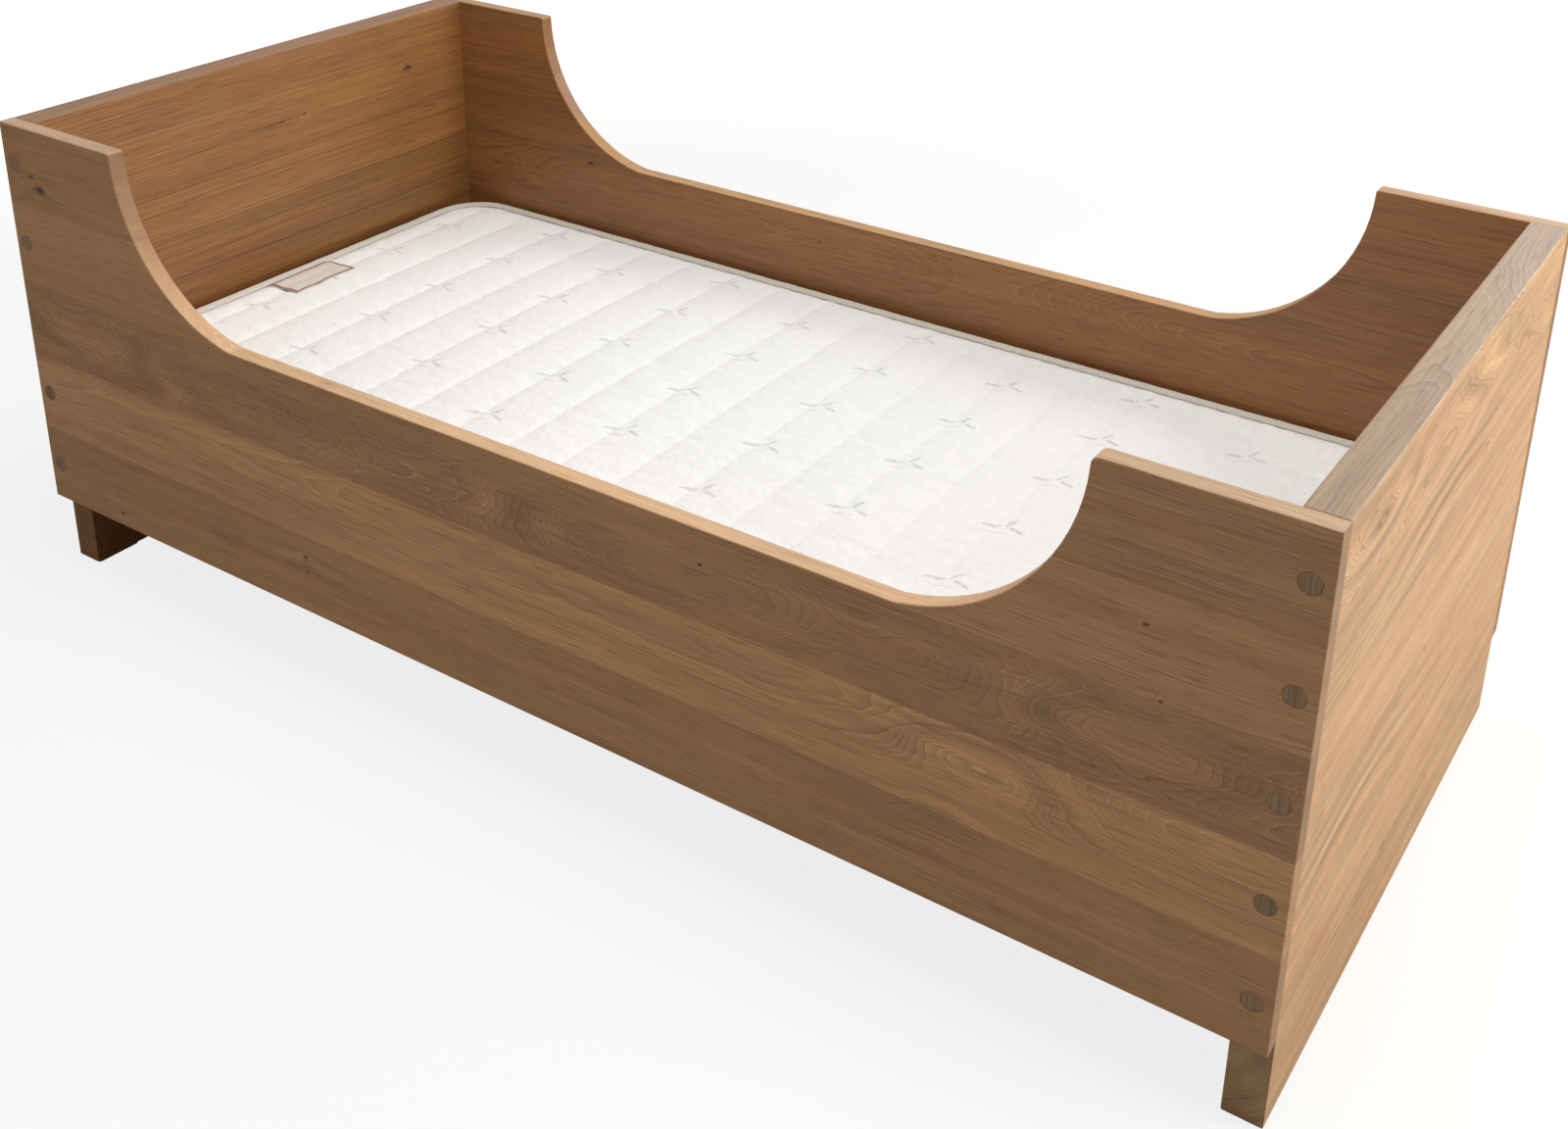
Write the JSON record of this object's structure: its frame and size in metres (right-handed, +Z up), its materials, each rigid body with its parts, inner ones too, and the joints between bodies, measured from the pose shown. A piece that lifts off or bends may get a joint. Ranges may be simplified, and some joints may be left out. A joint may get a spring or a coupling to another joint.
{
  "type": "kids bed",
  "caption": "Low wooden children's bed with scooped side panels, thick end panels that stand on the floor, a lift-out slatted base and a channel-quilted mattress.",
  "frame": {"origin": "on the floor, under the middle of the bed", "axes": "+X towards the foot of the bed, -Y is the front long side that the picture shows, +Z up"},
  "size_m": [1.6, 0.75, 0.6],
  "materials": {
    "panel_wood": "oiled",
    "plug_wood": "oiled",
    "slat_wood": "planed",
    "screw_steel": "zinc plated",
    "staple_steel": "galvanised",
    "felt": "pressed felt",
    "webbing": "woven",
    "foam": "open-cell foam",
    "cover_cotton": "quilted cotton",
    "tape_cotton": "woven tape",
    "label_satin": "satin"
  },
  "bodies": {
    "bed_frame": {"front_side_panel": "panel_wood", "rear_side_panel": "panel_wood", "head_panel": "panel_wood", "foot_panel": "panel_wood", "front_plugs": "plug_wood", "rear_plugs": "plug_wood", "corner_screws": "screw_steel", "front_ledger": "panel_wood", "rear_ledger": "panel_wood", "ledger_screws": "screw_steel", "glide_head_front": "felt", "glide_head_rear": "felt", "glide_foot_front": "felt", "glide_foot_rear": "felt"},
    "slatted_base": {"slat_01": "slat_wood", "slat_02": "slat_wood", "slat_03": "slat_wood", "slat_04": "slat_wood", "slat_05": "slat_wood", "slat_06": "slat_wood", "slat_07": "slat_wood", "slat_08": "slat_wood", "slat_09": "slat_wood", "slat_10": "slat_wood", "slat_11": "slat_wood", "slat_12": "slat_wood", "slat_13": "slat_wood", "slat_14": "slat_wood", "front_webbing": "webbing", "rear_webbing": "webbing", "webbing_staples": "staple_steel"},
    "mattress": {"mattress_core": "foam", "mattress_quilt": "cover_cotton", "mattress_base": "cover_cotton", "mattress_border": "cover_cotton", "top_tape": "tape_cotton", "bottom_tape": "tape_cotton", "mattress_label": "label_satin"}
  },
  "joints": [
    {"name": "slat_base_lift", "type": "slide", "parent": "bed_frame", "child": "slatted_base", "axis": [0, 0, 1], "range_m": [0, 0.46]},
    {"name": "mattress_lift", "type": "slide", "parent": "slatted_base", "child": "mattress", "axis": [0, 0, 1], "range_m": [0, 0.45]}
  ]
}
